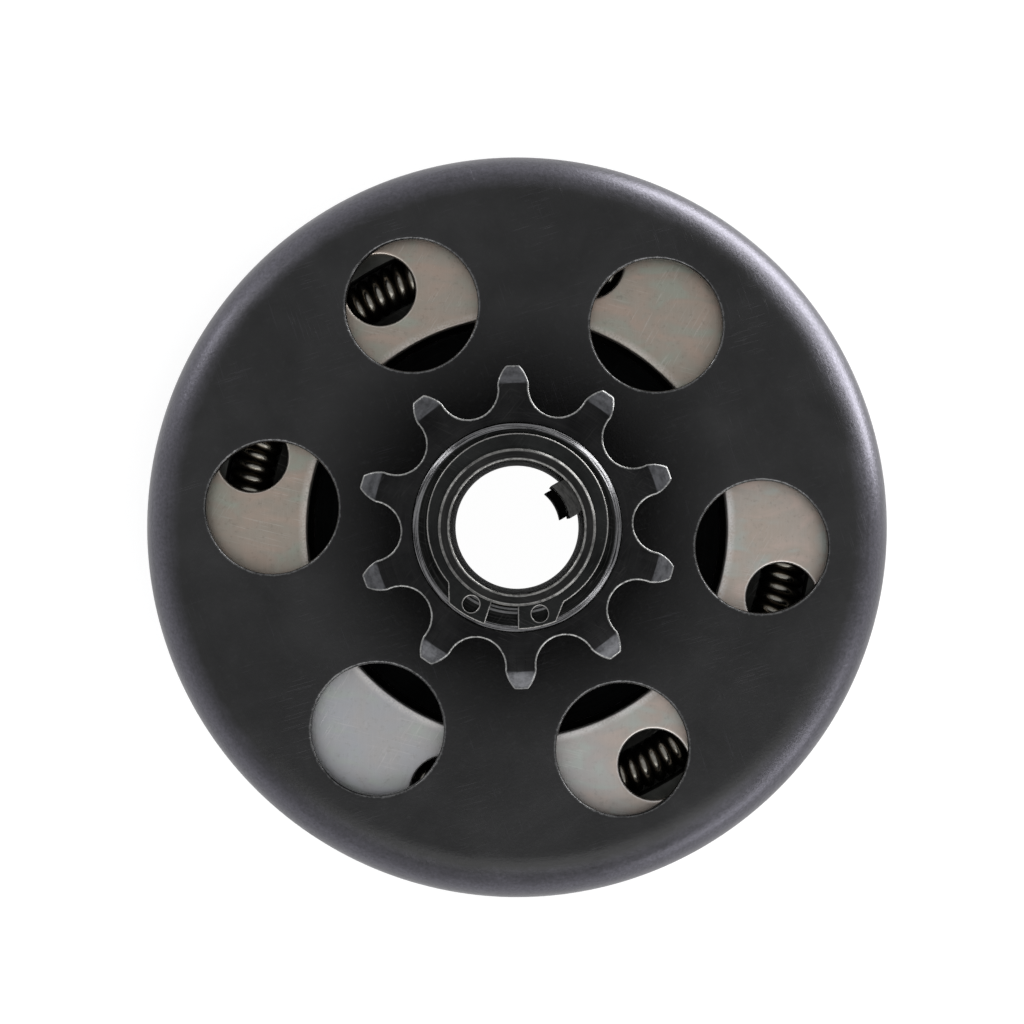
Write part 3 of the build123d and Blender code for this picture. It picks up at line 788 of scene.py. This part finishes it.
def toothLoop():
    s = sprocket
    pitch = 360 / s["teeth"]
    centre = s["rootR"] + s["seatR"]
    seat = arc(s["seatR"], 180 + s["seatHalf"], 180 - s["seatHalf"], 25, (centre, 0.0))
    cornerAngle = pitch / 2 - math.degrees(math.asin(s["tipLand"] / 2 / s["tipR"]))
    tip = polar(s["tipR"], cornerAngle)
    middle = (seat[-1] + tip) / 2 + np.array((s["bulge"], -s["bulge"])) / math.sqrt(2)
    flank = bulgedLine(seat[-1], middle, tip, 9)[1:]
    land = arc(s["tipR"], cornerAngle, pitch - cornerAngle, 8)
    soft = softCorners([(*flank[-1], 0), (*tip, s["tipEdge"]), (*land[1], 0)], False, 3)[1:-1]
    softTip = np.array([point[:2] for point in soft])
    otherTip = softTip[::-1] * np.array((1, -1))
    otherFlank = flank[::-1] * np.array((1, -1))
    farSide = (turnLoop(otherTip, pitch), turnLoop(otherFlank, pitch))
    one = np.vstack((seat, flank, softTip, land[2:-2], *farSide))
    first = s["firstTooth"] + pitch / 2
    return np.vstack([turnLoop(one, first + i * pitch) for i in range(s["teeth"])])


def sprocketShapes():
    s = sprocket
    loop = toothLoop()
    turns = np.arctan2(loop[:, 1], loop[:, 0])
    lip, fade = s["lip"], s["lipFade"]

    def relief(points):  # how far the chamfer of the teeth has fallen
        share = np.maximum(0.0, np.linalg.norm(points, axis=1) - s["pitchR"]) / (s["tipR"] - s["pitchR"])
        return s["relief"] * share ** s["reliefCurve"]

    def toothRing(depth, fall, front):
        points = inset(loop, depth)
        rise = relief(points) + fall
        heights = s["front"] - rise if front else s["back"] + rise
        return np.column_stack((points, heights))

    def crease(front):  # where the chamfer of the teeth starts
        edge = inset(loop, lip + fade)
        start = np.column_stack((np.cos(turns), np.sin(turns))) * s["flatR"]
        reach = np.maximum(0.1, np.linalg.norm(edge, axis=1) - s["flatR"])
        share = np.clip((s["pitchR"] - s["flatR"]) / reach, 0.0, s["farthestCrease"])
        return flatRing(start + (edge - start) * share[:, None], s["front"] if front else s["back"])

    flare, flareHeight = s["neckFlare"]
    below = softCorners([
        (s["boreR"], s["floor"], 0), (s["boreR"], s["drumWeb"], 0.15),
        (s["spigotR"], s["drumWeb"], 0.3), (s["spigotR"], s["drumFace"], 0),
        (s["neckR"], s["drumFace"], 0.15), (s["neckR"], s["back"] - flareHeight, 0),
        (s["neckR"] + flare, s["back"], 0),
    ], False)[1:]
    above = softCorners([
        (s["flatR"], s["front"], 0), (s["counterR"], s["front"], s["counterLip"]),
        (s["counterR"], s["floor"], 0.06), (s["boreR"], s["floor"], 0),
    ], False, 3, 0.15)
    rings, wear = turnedRings(below, turns)
    lipRows = quarterLip(lip, 4)
    rows = [(depth, fall, False, 1.0) for depth, fall in lipRows]
    rows += [(0.0, lip + fade, False, 0.0), (0.0, lip + fade, True, 0.0)]
    rows += [(depth, fall, True, 1.0) for depth, fall in lipRows[::-1]]
    rows = [(lip + fade, 0.0, False, 0.0)] + rows + [(lip + fade, 0.0, True, 0.0)]
    edgeRings = [toothRing(depth, fall, front) for depth, fall, front, worn in rows]
    rings += [crease(False)] + edgeRings + [crease(True)]
    wear += [np.full(len(loop), worn) for worn in [0.0] + [row[3] for row in rows] + [0.0]]
    frontRings, frontWear = turnedRings(above, turns)
    return [skin(rings + frontRings, wear + frontWear, endless=True)]


makePiece("sprocketWheel", sprocketShapes(), finishes["sprocketSteel"],
          "drum", "sprocket", 32.0)

# Shoes: the front plate with its windows, the rivets, and the coil spring in the channel
shoe = {
    "directions": {"a": 120.0, "b": 300.0}, "travel": 1.1, "metalR": 49.15, "innerR": 31.05, "endHalf": 4.75,
    "plateBottom": 26.4, "plateTop": 28.4, "plateLip": (0.15, 0.4), "windowR": 5.285, "windowCircleR": 40.61,
    "windowSpacing": 45.0, "windowLip": (0.15, 0.3), "rivetR": 1.34, "headR": 1.69, "headHeight": 0.7,
    "headWall": 0.5, "headFlat": 0.6, "footR": 1.94, "floor": 8.8, "footHeight": 0.6,
    "rivets": ((46.06, 12.0), (46.06, 58.0), (46.06, 122.0), (46.06, 168.0), (33.93, 58.0), (33.93, 122.0)),
}
spring = {
    "circleR": 40.41, "height": 22.6, "coilR": 2.45, "wireR": 0.84, "turns": 70, "stepsPerTurn": 24,
    "sides": 14, "crownNarrow": 6, "stretchOver": 12.0,
}


def shoeLoop():  # the shoe that moves along +Y, before its turn
    s = shoe
    side = math.degrees(math.asin((s["endHalf"] + s["travel"]) / s["metalR"]))
    innerSide = math.degrees(math.asin(s["endHalf"] / s["innerR"]))
    outer = arc(s["metalR"], side, 180 - side, 150, (0.0, -s["travel"]))
    inner = arc(s["innerR"], 180 - innerSide, innerSide, 110)
    return np.vstack((outer, inner))


def shoePlateShapes(turn):
    s = shoe
    loops = [turnLoop(shoeLoop(), turn)]
    for i in (-1, 0, 1):
        spot = polar(s["windowCircleR"], 90 + i * s["windowSpacing"] + turn)
        loops.append(circle(s["windowR"], 72, True) + spot)
    lips = [s["plateLip"]] + [s["windowLip"]] * 3
    return plate(loops, s["plateBottom"], s["plateTop"], lips, steps=4, fade=0.3)


def shoeRivetShapes(turn):
    s = shoe
    top, headTop = s["plateTop"], s["plateTop"] + s["headHeight"]
    wallTop = top + s["headHeight"] * s["headWall"]
    one = lathe([
        (0.0, s["floor"], 0), (s["footR"], s["floor"], 0.06), (s["rivetR"], s["floor"] + s["footHeight"], 0),
        (s["rivetR"], top, 0), (s["headR"], top, 0.06), (s["headR"], wallTop, 0.22),
        (s["headR"] * s["headFlat"], headTop, 0.4), (0.0, headTop, 0),
    ], 36, fade=0.12)
    return [moved(one, *polar(radius, angle + turn)) for radius, angle in s["rivets"]]


def springShapes(turn):
    s = spring
    steps = s["turns"] * s["stepsPerTurn"]
    share = np.arange(steps + 1) / steps
    around = np.radians(turn + 180 * share)
    wind = 2 * math.pi * s["turns"] * share
    reach = s["circleR"] + s["coilR"] * np.cos(wind)
    level = s["height"] + s["coilR"] * np.sin(wind)
    line = np.column_stack((reach * np.cos(around), reach * np.sin(around), level))
    along = np.gradient(line, axis=0)
    along /= np.linalg.norm(along, axis=1)[:, None]
    out = np.column_stack((np.cos(wind) * np.cos(around), np.cos(wind) * np.sin(around), np.sin(wind)))
    out -= along * np.sum(out * along, axis=1)[:, None]
    out /= np.linalg.norm(out, axis=1)[:, None]
    side = np.cross(along, out)
    sides = fullTurn(s["sides"])
    across, up = np.cos(sides), np.sin(sides)
    rings = [np.tile(line[0], (s["sides"], 1))]  # the wire starts and ends in a point that closes it
    for i in range(steps + 1):
        rings.append(line[i] + s["wireR"] * (np.outer(across, out[i]) + np.outer(up, side[i])))
    rings.append(np.tile(line[-1], (s["sides"], 1)))
    crownWearAndHighlight = np.maximum(0.0, across) ** s["crownNarrow"]  # the outside of each turn is brighter: rubbed wear, and a painted highlight
    return [skin(rings, [crownWearAndHighlight] * len(rings))]


for letter, direction in shoe["directions"].items():
    turn = direction - 90
    body, big = "shoe_" + letter, letter.upper()
    zinc, rivets, wire = finishes["zinc" + big], finishes["rivetSteel"], finishes["wireSteel"]
    makePiece("shoePlate" + big, shoePlateShapes(turn), zinc, body, body + "_front_plate")
    makePiece("shoeRivets" + big, shoeRivetShapes(turn), rivets, body, body + "_rivets")
    half = springShapes(turn)
    coil = makePiece("coilSpring" + big, half, wire, None, "garter_spring_" + letter, 60.0)
    away = polar(spring["stretchOver"], direction) * mm
    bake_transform(coil)

# The nodes that keep their CAD mesh get their finish here
keptNodes = {
    "rear_thrust_washer": "washerSteel", "drive_spider": "armSteel", "sprocket_bushing": "bronze",
    "inner_spacer": "spacerBlack", "outer_spacer": "coreSteel", "core": "coreSteel",
    "rear_plate": "zinc", "lining": "lining",
}
for name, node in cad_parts.items():
    for ending, key in keptNodes.items():
        if name.endswith(ending):
            if key == "zinc":
                key += name[len("shoe_")].upper()
            node.data.materials.clear()
            node.data.materials.append(finishes[key])
            print("finished", name, "in", key)


# Stage: a pale floor, a soft world, soft lamps and the camera above the sprocket.
# A lamp stands "away" metres from the middle of the floor and looks back at it, or at a point above it.
stage = {
    "floorGlow": 0.74, "boreGlow": 0.98, "boreFade": (16.0, 11.0), "floorShade": 0.38, "floorSize": 8.0,
    "floorColour": (0.8, 0.8, 0.8), "worldTop": (0.66, 0.665, 0.68), "worldSide": (1.0, 1.0, 1.0),
    "worldFade": (0.1, 0.95),
    "lamps": {
        "tableLamp": {"azimuth": 42, "elevation": 2, "away": 0.125, "size": (0.17, 0.08),
                      "radiance": 10.0, "aimHeight": 0.17},
        "lowLamp": {"azimuth": 40, "elevation": 8, "away": 0.8, "size": (0.85, 0.2), "radiance": 4.5},
        "broadLamp": {"azimuth": 38, "elevation": 23, "away": 1.2, "size": (0.62, 0.05), "radiance": 18.0},
        "sideLamp": {"azimuth": 148, "elevation": 7, "away": 1.0, "size": (0.22, 0.22), "radiance": 4.6},
        "sideStrip": {"azimuth": 138, "elevation": 23, "away": 1.2, "size": (0.3, 0.05), "radiance": 13.0},
        "frontLamp": {"azimuth": 315, "elevation": 6, "away": 0.9, "size": (0.75, 0.16), "radiance": 3.6},
        "frontStrip": {"azimuth": 322, "elevation": 23, "away": 1.2, "size": (0.45, 0.05), "radiance": 8.0},
        "highLamp": {"azimuth": 280, "elevation": 53, "away": 1.0, "size": (1.0, 0.5), "radiance": 1.75},
    },
    "cameraHeight": 0.6005, "lens": 135.7, "sensorWidth": 36.0, "shift": (-5 / 1024, 15.3 / 1024),
}


def makeFloor():
    half = stage["floorSize"] / 2
    mesh = bpy.data.meshes.new("floor")
    corners = [(-half, -half, 0), (half, -half, 0), (half, half, 0), (-half, half, 0)]
    mesh.from_pydata(corners, [], [(0, 1, 2, 3)])
    floor = bpy.data.objects.new("floor", mesh)
    bpy.context.scene.collection.objects.link(floor)
    paper = newFinish("paleFloor")
    seen = paper.node("ShaderNodeLightPath", {}, {}, "Is Camera Ray")
    seen = seen + seen.other("Is Glossy Ray") + seen.other("Is Transmission Ray")
    paintedLightUnderBore = paper.within(paper.radius(paper.place()), *stage["boreFade"])  # painted light: the paper under the bore glows brighter, where the piece shades it
    level = stage["floorGlow"] + paintedLightUnderBore * (stage["boreGlow"] - stage["floorGlow"])
    glow = paper.node("ShaderNodeEmission", {}, {"Color": (1.0, 1.0, 1.0), "Strength": level})
    shade = paper.node("ShaderNodeBsdfDiffuse", {}, {"Color": (stage["floorShade"],) * 3})
    lit = paper.node("ShaderNodeAddShader", {}, {0: glow, 1: shade})
    plain = paper.node("ShaderNodeBsdfDiffuse", {}, {"Color": stage["floorColour"]})
    paper.close(paper.node("ShaderNodeMixShader", {}, {0: seen, 1: plain, 2: lit}))
    mesh.materials.append(paper.owner)


def makeWorld():
    room = Finish(bpy.data.worlds.new("softRoom"))
    direction = room.node("ShaderNodeTexCoord", {}, {}, "Generated")
    height = room.node("ShaderNodeSeparateXYZ", {}, {0: direction}, "Z")
    colour = room.blend(room.within(height, *stage["worldFade"]), stage["worldSide"], stage["worldTop"])
    glow = room.node("ShaderNodeBackground", {}, {"Color": colour, "Strength": 1.0})
    room.close(glow, "ShaderNodeOutputWorld")
    bpy.context.scene.world = room.owner


def makeLamps():
    for name, lamp in stage["lamps"].items():
        data = bpy.data.lights.new(name, "AREA")
        data.shape = "RECTANGLE"
        data.size, data.size_y = lamp["size"]
        data.energy = lamp["radiance"] * math.pi * data.size * data.size_y
        light = bpy.data.objects.new(name, data)
        light.visible_camera = False
        rise = math.radians(lamp["elevation"])
        flat = polar(lamp["away"] * math.cos(rise), lamp["azimuth"])
        light.location = (flat[0], flat[1], lamp["away"] * math.sin(rise))
        aim = Vector((0, 0, lamp.get("aimHeight", 0.0))) - light.location
        light.rotation_euler = aim.to_track_quat("-Z", "Y").to_euler()
        bpy.context.scene.collection.objects.link(light)


def makeCamera():
    data = bpy.data.cameras.new("camera")
    data.lens, data.sensor_width = stage["lens"], stage["sensorWidth"]
    data.shift_x, data.shift_y = stage["shift"]
    camera = bpy.data.objects.new("camera", data)
    camera.location = (0, 0, stage["cameraHeight"])
    bpy.context.scene.collection.objects.link(camera)
    bpy.context.scene.camera = camera


makeFloor()
makeWorld()
makeLamps()
makeCamera()
bpy.context.scene.view_settings.view_transform = "Standard"
print("stage made")
